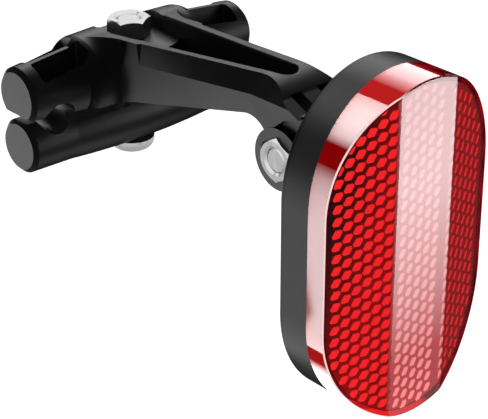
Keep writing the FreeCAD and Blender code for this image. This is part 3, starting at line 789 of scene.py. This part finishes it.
def prism_tree(material):
    """Geometry nodes: its facet's prism on each point, turned to the facet."""
    tree = bpy.data.node_groups.new("Prisms on points", "GeometryNodeTree")
    for label, kind, in_out in (("Geometry", "NodeSocketGeometry", "INPUT"),
                                *((label, "NodeSocketObject", "INPUT") for label in PRISM_LABELS),
                                ("Scale", "NodeSocketFloat", "INPUT"),
                                ("Geometry", "NodeSocketGeometry", "OUTPUT")):
        tree.interface.new_socket(name=label, in_out=in_out, socket_type=kind)
    nodes = tree.nodes
    inp, out = nodes.new("NodeGroupInput"), nodes.new("NodeGroupOutput")
    points = nodes.new("GeometryNodeMeshToPoints")
    feed(points, {"Mesh": inp.outputs["Geometry"]})
    axis = nodes.new("ShaderNodeCombineXYZ")
    feed(axis, {"Z": named_attribute(nodes, "Turn", "FLOAT")})
    rotation = nodes.new("FunctionNodeEulerToRotation")
    feed(rotation, {"Euler": axis.outputs["Vector"]})
    facet = named_attribute(nodes, "Facet", "INT")
    join = nodes.new("GeometryNodeJoinGeometry")
    for side, label in enumerate(PRISM_LABELS, -1):
        chosen = nodes.new("FunctionNodeCompare")
        chosen.data_type = "INT"
        chosen.operation = "EQUAL"
        tree.links.new(facet, chosen.inputs[2])
        chosen.inputs[3].default_value = side
        info = nodes.new("GeometryNodeObjectInfo")
        feed(info, {"Object": inp.outputs[label]})
        instances = nodes.new("GeometryNodeInstanceOnPoints")
        feed(instances, {"Points": points.outputs["Points"],
                         "Selection": chosen.outputs["Result"],
                         "Instance": info.outputs["Geometry"],
                         "Rotation": rotation.outputs["Rotation"],
                         "Scale": inp.outputs["Scale"]})
        feed(join, {"Geometry": instances.outputs["Instances"]})
    realize = nodes.new("GeometryNodeRealizeInstances")
    feed(realize, {"Geometry": join.outputs["Geometry"]})
    paint = nodes.new("GeometryNodeSetMaterial")
    feed(paint, {"Geometry": realize.outputs["Geometry"], "Material": material})
    feed(out, {"Geometry": paint.outputs["Geometry"]})
    return tree


def inside(settings, x, z):
    """True where a point lies inside the side wall."""
    return abs(x) < HEAD_HALF_W - settings.wall and abs(z) < end_height(settings, settings.wall, x)


def prism_points(settings):
    """Places of the prisms on the three facets, with the turn and the facet of each."""
    column = settings.cell * math.sqrt(3) / 2
    rows = int(HEAD_HALF_H / settings.cell) + 1
    front = FRONT_Y + settings.face + PRISM_CLEAR
    points, turns, facets = [], [], []
    for side, count, middle, odd in FACETS:
        turn = settings.fold * side
        for i in range(count):
            along = middle + (i - (count - 1) / 2) * column
            x = side * settings.middle_half + along * math.cos(turn)
            for row in range(-rows, rows + 1):
                z = ROW_PHASE + (row + 0.5 * ((i + odd) % 2)) * settings.cell
                if inside(settings, x, z):
                    points.append((x, front + along * math.sin(turn), HEAD_MID_Z + z))
                    turns.append(turn)
                    facets.append(side)
    return points, turns, facets


def evaluated_mesh(context, obj):
    """The mesh of an object with its modifiers applied."""
    graph = context.evaluated_depsgraph_get()
    return bpy.data.meshes.new_from_object(obj.evaluated_get(graph))


class REFLECTOR_OT_prisms(bpy.types.Operator):
    """Build the field of hexagonal prisms behind the lens's front"""
    bl_idname = "reflector.prisms"
    bl_label = "Prisms"

    def execute(self, context):
        settings = context.scene.reflector_lens
        points, turns, facets = prism_points(settings)
        mesh = new_mesh("prism_places", points)
        write_attribute(mesh, "Turn", "FLOAT", "POINT", turns)
        write_attribute(mesh, "Facet", "INT", "POINT", facets)
        places = new_object("prism_places", mesh)
        size = settings.cell - settings.joint
        masters = {}
        for side, label in enumerate(PRISM_LABELS, -1):
            master = prism_mesh(label, size, bright_shift(settings, side))
            masters[label] = new_object(label, master)
        tree = prism_tree(prism_red("Prism red"))
        modifier = places.modifiers.new("Prisms", "NODES")
        modifier.node_group = tree
        sockets = {item.name: item.identifier for item in tree.interface.items_tree
                   if item.in_out == "INPUT"}
        for label, master in masters.items():
            modifier[sockets[label]] = master
        modifier[sockets["Scale"]] = 1.0
        whole = new_object("whole_prisms", evaluated_mesh(context, places))
        room = new_object("prism_room", slab_mesh(
            "prism_room", settings, settings.wall + PRISM_CLEAR,
            settings.face + PRISM_CLEAR / 2, 2 * settings.face + PRISM_DEPTH))
        trim = whole.modifiers.new("Trim", "BOOLEAN")
        trim.operation = "INTERSECT"
        trim.object = room
        baked = evaluated_mesh(context, whole)
        baked.name = "lens_prisms"
        prisms = new_object("lens_prisms", baked)
        for helper in (places, whole, room, *masters.values()):
            bpy.data.objects.remove(helper)
        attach(prisms, "head")
        return {"FINISHED"}


class REFLECTOR_OT_inner(bpy.types.Operator):
    """Build the bed that the prisms stand in"""
    bl_idname = "reflector.inner"
    bl_label = "Prism bed"

    def execute(self, context):
        settings = context.scene.reflector_lens
        front = settings.face + PRISM_CLEAR + PRISM_RELIEF + BED_GAP
        mesh = slab_mesh("prism_bed", settings, settings.wall + PRISM_CLEAR,
                         front, front + BED_THICKNESS)
        mesh.materials.append(bpy.data.materials["Prism red"])
        bed = new_object("prism_bed", mesh)
        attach(bed, "head")
        return {"FINISHED"}


class REFLECTOR_OT_finishes(bpy.types.Operator):
    """Give the clamp, arm, housing, nuts and bolts their finishes"""
    bl_idname = "reflector.finishes"
    bl_label = "Finishes"

    def execute(self, context):
        satin = black_plastic("Black clamp plastic", 0.42, 0.03 * MM, 0.5)
        shell = black_plastic("Black shell plastic", 0.36, 0.02 * MM, 0.26)
        steel = plated_steel("Zinc plated steel")
        for names, material in ((CLAMP_NODES, satin), (SHELL_NODES, shell), (STEEL_NODES, steel)):
            for name in names:
                node = frame["nodes"][name]
                node.data.materials.clear()
                node.data.materials.append(material)
        return {"FINISHED"}


# Studio: cards that only show in reflections

def emission_material(name, clear_back=False):
    """A material with nothing but an emission shader, and a clear back where asked."""
    material = bpy.data.materials.new(name)
    material.use_nodes = True
    nodes, links = material.node_tree.nodes, material.node_tree.links
    nodes.remove(nodes["Principled BSDF"])
    emission = nodes.new("ShaderNodeEmission")
    surface = emission.outputs[0]
    if clear_back:
        mix, clear = nodes.new("ShaderNodeMixShader"), nodes.new("ShaderNodeBsdfTransparent")
        geometry = nodes.new("ShaderNodeNewGeometry")
        links.new(geometry.outputs["Backfacing"], mix.inputs["Fac"])
        links.new(surface, mix.inputs[1])
        links.new(clear.outputs[0], mix.inputs[2])
        surface = mix.outputs[0]
    feed(nodes["Material Output"], {"Surface": surface})
    return material, nodes, emission


def glow_material(name):
    """Emission as strong as the Glow attribute says."""
    material, nodes, emission = emission_material(name)
    attribute = nodes.new("ShaderNodeAttribute")
    attribute.attribute_name = "Glow"
    feed(emission, {"Strength": attribute.outputs["Fac"]})
    return material


def fading_material(name, strengths, low, high, clear_back=False):
    """Emission that changes along Z from one strength to another."""
    material, nodes, emission = emission_material(name, clear_back)
    feed(emission, {"Strength": map_range(nodes, object_xyz(nodes)[2], low, high, *strengths)})
    return material


def glossy_card(name, verts, faces, material, receivers):
    """A glowing card that only shows in the reflections of its receivers."""
    mesh = new_mesh(name, verts, faces)
    mesh.materials.append(material)
    obj = new_object(name, mesh)
    obj.visible_camera = False
    obj.visible_diffuse = False
    obj.visible_transmission = False
    obj.visible_shadow = False
    obj.light_linking.receiver_collection = receivers
    return obj


def facet_card(settings, receivers):
    """The card whose reflection fills the middle facet and fades towards its foot."""
    mirrored = mathutils.Vector((EYE[0], 2 * FRONT_Y - EYE[1], EYE[2]))
    reach = CARD_REACH / (mirrored.y - FRONT_Y)
    half_w = settings.middle_half * FACET_CARD_SIZE[0]
    half_h = HEAD_HALF_H * FACET_CARD_SIZE[1]
    verts = []
    for x, z in ((-1, -1), (1, -1), (1, 1), (-1, 1)):
        corner = mathutils.Vector((x * half_w, FRONT_Y, HEAD_MID_Z + z * half_h))
        verts.append(corner + (corner - mirrored) * reach)
    low, high = verts[0].z, verts[2].z
    fade = [low + (high - low) * part for part in FACET_CARD_FADE]
    material = fading_material("Facet card", FACET_CARD_STRENGTHS, *fade)
    return glossy_card("facet_card", verts, [(0, 1, 2, 3)], material, receivers)


def outline_point(settings, degrees, straight):
    """A point of the left side of the outline by its normal's angle, and the normal itself."""
    a = math.radians(degrees)
    normal = mathutils.Vector((-math.cos(a), 0.0, math.sin(a)))
    w, h = HEAD_HALF_W, settings.end_rise
    scale = 1 / math.hypot(w * math.cos(a), h * math.sin(a))
    x = -w * w * math.cos(a) * scale
    z = h * h * math.sin(a) * scale + straight * (HEAD_HALF_H - h)
    return mathutils.Vector((x, 0.0, HEAD_MID_Z + z)), normal


def strength_at(profile, angle):
    """A card's strength at an angle, between the nearest two of its profile's points."""
    for (a, low), (b, high) in zip(profile, profile[1:]):
        if a <= angle <= b:
            return low + (high - low) * (angle - a) / (b - a)
    return 0.0


def side_card(settings, name, profile, y_range, receivers):
    """The card whose reflection fills the head's side between two angles of its outline."""
    eye = mathutils.Vector(EYE)
    first, last = profile[0][0], profile[-1][0]
    verts, faces, glow = [], [], []
    stations = [first + (last - first) * i / CARD_STEPS for i in range(CARD_STEPS + 1)]
    straight = [1 if a >= 0 else -1 for a in stations]
    if first < 0 < last:
        at = sum(a < 0 for a in stations)
        stations[at:at] = [0.0, 0.0]
        straight[at:at] = [-1, 1]
    for i, (a, side) in enumerate(zip(stations, straight)):
        for y in y_range:
            point, normal = outline_point(settings, a, side)
            point.y = y
            ray = (point - eye).normalized()
            verts.append(point + ray.reflect(normal) * CARD_REACH)
            glow.append(strength_at(profile, a))
        if i:
            k = len(verts)
            faces.append((k - 4, k - 3, k - 1, k - 2))
    obj = glossy_card(name, verts, faces, glow_material(name), receivers)
    write_attribute(obj.data, "Glow", "FLOAT", "POINT", glow)
    return obj


def steel_dome(receivers):
    """The bright surroundings that show in the nuts and bolts, paler overhead."""
    centre = mathutils.Vector(FOCUS)
    ball = bmesh.new()
    bmesh.ops.create_icosphere(ball, subdivisions=4, radius=DOME_RADIUS)
    ball.verts.index_update()
    verts = [v.co + centre for v in ball.verts]
    faces = [tuple(v.index for v in face.verts) for face in ball.faces]
    ball.free()
    fade = [centre.z + DOME_RADIUS * part for part in DOME_FADE]
    material = fading_material("Steel dome", DOME_STRENGTHS, *fade)
    return glossy_card("steel_dome", verts, faces, material, receivers)


def arm_card(receivers):
    """A small card before the bars; without it the arm's sides would mirror the black bars."""
    (left, right), y, (low, high) = ARM_CARD
    material = fading_material("Arm card", ARM_CARD_STRENGTHS, *ARM_CARD_FADE, clear_back=True)
    verts = [(left, y, low), (right, y, low), (right, y, high), (left, y, high)]
    return glossy_card("arm_card", verts, [(0, 1, 2, 3)], material, receivers)


def collect(name, objects):
    """A collection for light linking."""
    collection = bpy.data.collections.new(name)
    for obj in objects:
        collection.objects.link(obj)
    return collection


# Studio: soft lights, surroundings, camera and floor

def soft_card(name, offset, size, power, skipped):
    """A soft rectangular light that faces the focus and doesn't light the skipped objects."""
    data = bpy.data.lights.new(name, "AREA")
    data.shape = "RECTANGLE"
    data.size, data.size_y = size
    data.energy = power
    obj = bpy.data.objects.new(name, data)
    bpy.context.scene.collection.objects.link(obj)
    obj.location = mathutils.Vector(FOCUS) + mathutils.Vector(offset)
    aim = mathutils.Vector(FOCUS) - obj.location
    obj.rotation_euler = aim.to_track_quat("-Z", "Y").to_euler()
    obj.visible_camera = False
    obj.light_linking.receiver_collection = skipped


def make_world(studio):
    """White to the camera, and an even dim light to everything else."""
    world = bpy.data.worlds.new("Studio")
    world.use_nodes = True
    nodes, links = world.node_tree.nodes, world.node_tree.links
    seen = nodes["Background"]
    lit = nodes.new("ShaderNodeBackground")
    path = nodes.new("ShaderNodeLightPath")
    mix = nodes.new("ShaderNodeMixShader")
    dim = maths(nodes, "MULTIPLY_ADD", path.outputs["Is Glossy Ray"],
                studio.shine - studio.ambient, studio.ambient)
    feed(seen, {"Color": WHITE})
    feed(lit, {"Color": WHITE, "Strength": dim})
    links.new(path.outputs["Is Camera Ray"], mix.inputs["Fac"])
    links.new(lit.outputs[0], mix.inputs[1])
    links.new(seen.outputs[0], mix.inputs[2])
    feed(nodes["World Output"], {"Surface": mix.outputs[0]})
    return world


def make_camera(focal_mm):
    """The camera, from its place and its two directions."""
    camera = bpy.data.cameras.new("Camera")
    camera.sensor_width = SENSOR_MM
    camera.lens = focal_mm
    camera.clip_start, camera.clip_end = CLIP_RANGE
    obj = bpy.data.objects.new("Camera", camera)
    bpy.context.scene.collection.objects.link(obj)
    right = mathutils.Vector(CAMERA_RIGHT).normalized()
    back = mathutils.Vector(TO_EYE).normalized()
    up = back.cross(right)
    obj.matrix_world = mathutils.Matrix((
        (right.x, up.x, back.x, EYE[0]), (right.y, up.y, back.y, EYE[1]),
        (right.z, up.z, back.z, EYE[2]), (0, 0, 0, 1)))
    return obj


def make_floor(level):
    """A pale floor that glows white to the camera and is left out of reflected light."""
    corners = ((-1, -1), (1, -1), (1, 1), (-1, 1))
    mesh = new_mesh("floor", [(x * FLOOR_HALF, y * FLOOR_HALF, level) for x, y in corners],
                    [(0, 1, 2, 3)])
    material, nodes, shader = plain_material("Pale floor")
    path = nodes.new("ShaderNodeLightPath")
    feed(shader, {"Base Color": FLOOR_COLOUR, "Emission Color": WHITE,
                  "Emission Strength": path.outputs["Is Camera Ray"]})
    mesh.materials.append(material)
    floor = new_object("floor", mesh)
    floor.visible_glossy = False
    floor.visible_diffuse = False
    return floor


class REFLECTOR_OT_stage(bpy.types.Operator):
    """Set up the pale floor, the soft lights and the camera"""
    bl_idname = "reflector.stage"
    bl_label = "Studio"

    def execute(self, context):
        scene = context.scene
        studio, settings = scene.reflector_studio, scene.reflector_lens
        scene.view_settings.view_transform = "Standard"
        scene.world = make_world(studio)

        lens = collect("Lens reflections", [bpy.data.objects["lens_shell"]])
        shells = collect("Shell reflections", [frame["nodes"][name] for name in SHELL_NODES])
        steel = collect("Steel reflections", [frame["nodes"][name] for name in STEEL_NODES])
        arm = collect("Arm reflections", [frame["nodes"]["arm"]])
        cards = [facet_card(settings, lens)]
        cards += [side_card(settings, *one, WALL_CARD_Y, lens) for one in WALL_CARDS]
        cards += [side_card(settings, *one, SHELL_CARD_Y, shells) for one in SHELL_CARDS]
        cards += [steel_dome(steel), arm_card(arm)]

        skipped = collect("Lit by their own cards", [
            *(bpy.data.objects[name] for name in LENS_PIECES), *steel.objects])
        for item in skipped.collection_objects:
            item.light_linking.link_state = "EXCLUDE"
        for one in SOFT_CARDS:
            soft_card(*one, skipped)

        scene.camera = make_camera(studio.lens_mm)
        floor = make_floor(CAD_BOX[0].z - studio.floor_drop)
        return {"FINISHED"}


class REFLECTOR_PT_panel(bpy.types.Panel):
    """The reflector's pieces and settings"""
    bl_idname = "REFLECTOR_PT_panel"
    bl_label = "Reflector"
    bl_space_type = "VIEW_3D"
    bl_region_type = "UI"
    bl_category = "Reflector"

    def draw(self, context):
        layout = self.layout
        for operator in OPERATORS:
            layout.operator(operator.bl_idname)
        for name in SETTINGS:
            group = getattr(context.scene, name)
            for prop in group.bl_rna.properties.keys():
                if prop not in ("rna_type", "name"):
                    layout.prop(group, prop)


SETTINGS = {"reflector_lens": LensSettings, "reflector_finish": FinishSettings,
            "reflector_studio": StudioSettings}
OPERATORS = (REFLECTOR_OT_lens, REFLECTOR_OT_prisms, REFLECTOR_OT_inner,
             REFLECTOR_OT_finishes, REFLECTOR_OT_stage)


def register():
    """Registers the classes and hangs the settings on the scene."""
    for cls in (*SETTINGS.values(), *OPERATORS, REFLECTOR_PT_panel):
        bpy.utils.register_class(cls)
    for name, cls in SETTINGS.items():
        setattr(bpy.types.Scene, name, bpy.props.PointerProperty(type=cls))


def unregister():
    """Takes away what register added."""
    for name in SETTINGS:
        delattr(bpy.types.Scene, name)
    for cls in (REFLECTOR_PT_panel, *reversed(OPERATORS), *reversed(SETTINGS.values())):
        bpy.utils.unregister_class(cls)


def main():
    """Registers the add-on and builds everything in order."""
    register()
    bpy.ops.reflector.lens()
    bpy.ops.reflector.prisms()
    bpy.ops.reflector.inner()
    bpy.ops.reflector.finishes()
    bpy.ops.reflector.stage()


if __name__ == "__main__":
    main()
